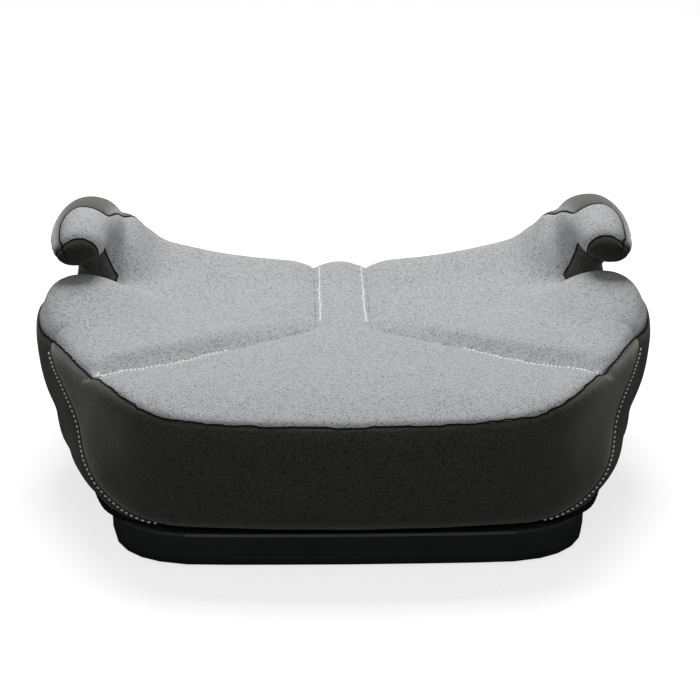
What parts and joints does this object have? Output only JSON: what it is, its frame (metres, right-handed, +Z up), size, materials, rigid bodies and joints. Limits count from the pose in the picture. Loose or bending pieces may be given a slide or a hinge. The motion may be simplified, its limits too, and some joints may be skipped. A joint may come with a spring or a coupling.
{
  "type": "child booster seat",
  "caption": "Low backless child car booster: padded light seat, dark sewn sides, two forward-reaching armrest horns that guide the lap belt, black moulded base.",
  "frame": {"origin": "middle of the footprint, on the plane the rubber feet stand on", "axes": "+Z up, -Y towards the front edge of the seat, +X towards the armrest on the right when looking at the front"},
  "size_m": [0.44, 0.3894, 0.1798],
  "materials": {
    "fabric_light": "woven light grey melange polyester, sewn panels",
    "fabric_dark": "woven charcoal melange polyester, sewn panels",
    "elastic": "black knitted elastic band",
    "tray_plastic": "satin black injection-moulded polypropylene",
    "shell_plastic": "moulded dark grey polypropylene",
    "foam": null,
    "rubber": "matt black rubber",
    "steel": "zinc-plated steel"
  },
  "bodies": {
    "root": {"armrest_bolt_left_1": "steel", "armrest_bolt_left_2": "steel", "armrest_bolt_right_1": "steel", "armrest_bolt_right_2": "steel", "armrest_cover_left": "fabric_dark", "armrest_cover_right": "fabric_dark", "armrest_foam_left": "foam", "armrest_foam_right": "foam", "armrest_frame_left": "shell_plastic", "armrest_frame_right": "shell_plastic", "armrest_lining_left": "fabric_light", "armrest_lining_right": "fabric_light", "armrest_tip_left": "fabric_dark", "armrest_tip_right": "fabric_dark", "base_tray": "tray_plastic", "cover_back": "fabric_dark", "cover_front": "fabric_dark", "cover_side_left": "fabric_dark", "cover_side_right": "fabric_dark", "cover_top_centre": "fabric_light", "cover_top_left": "fabric_light", "cover_top_right": "fabric_light", "foot_front_left": "rubber", "foot_front_right": "rubber", "foot_rear_left": "rubber", "foot_rear_right": "rubber", "hem_elastic": "elastic", "seat_foam": "foam", "seat_shell": "shell_plastic", "tray_screw_1": "steel", "tray_screw_2": "steel", "tray_screw_3": "steel", "tray_screw_4": "steel", "tray_screw_5": "steel", "tray_screw_6": "steel"}
  },
  "joints": []
}
